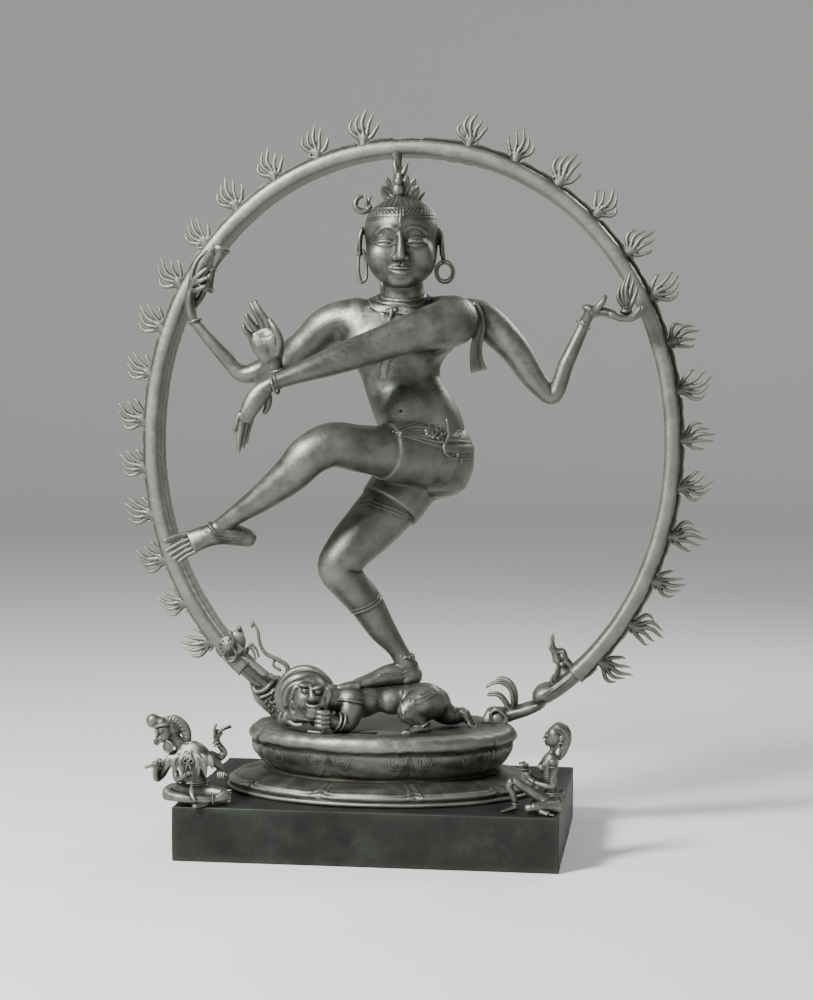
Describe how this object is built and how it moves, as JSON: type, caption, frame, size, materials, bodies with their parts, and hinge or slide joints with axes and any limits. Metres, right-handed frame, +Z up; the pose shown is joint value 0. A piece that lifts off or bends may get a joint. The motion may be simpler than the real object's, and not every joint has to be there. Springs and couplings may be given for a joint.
{
  "type": "shiva figure",
  "caption": "Bronze figure dancing on a prone dwarf, inside an oval aureole of flames, on a lotus and a rectangular base with seated attendants at its front corners.",
  "frame": {"origin": "centre of the underside of the rectangular base", "axes": "+Z up, the figure faces -Y, +X to the viewer's right"},
  "size_m": [1.2404, 0.5212, 1.481],
  "materials": {
    "bronze": "old cast bronze, dark grey-green, satin, with pale green bloom on the high places and brown in the hollows",
    "base_bronze": "plain cast bronze, near black, dull satin, rubbed paler along the edges"
  },
  "bodies": {
    "root": {"dancing_figure": "bronze", "aureole": "bronze", "pedestal": "base_bronze", "attendant_left": "bronze", "attendant_right": "bronze"}
  },
  "joints": []
}
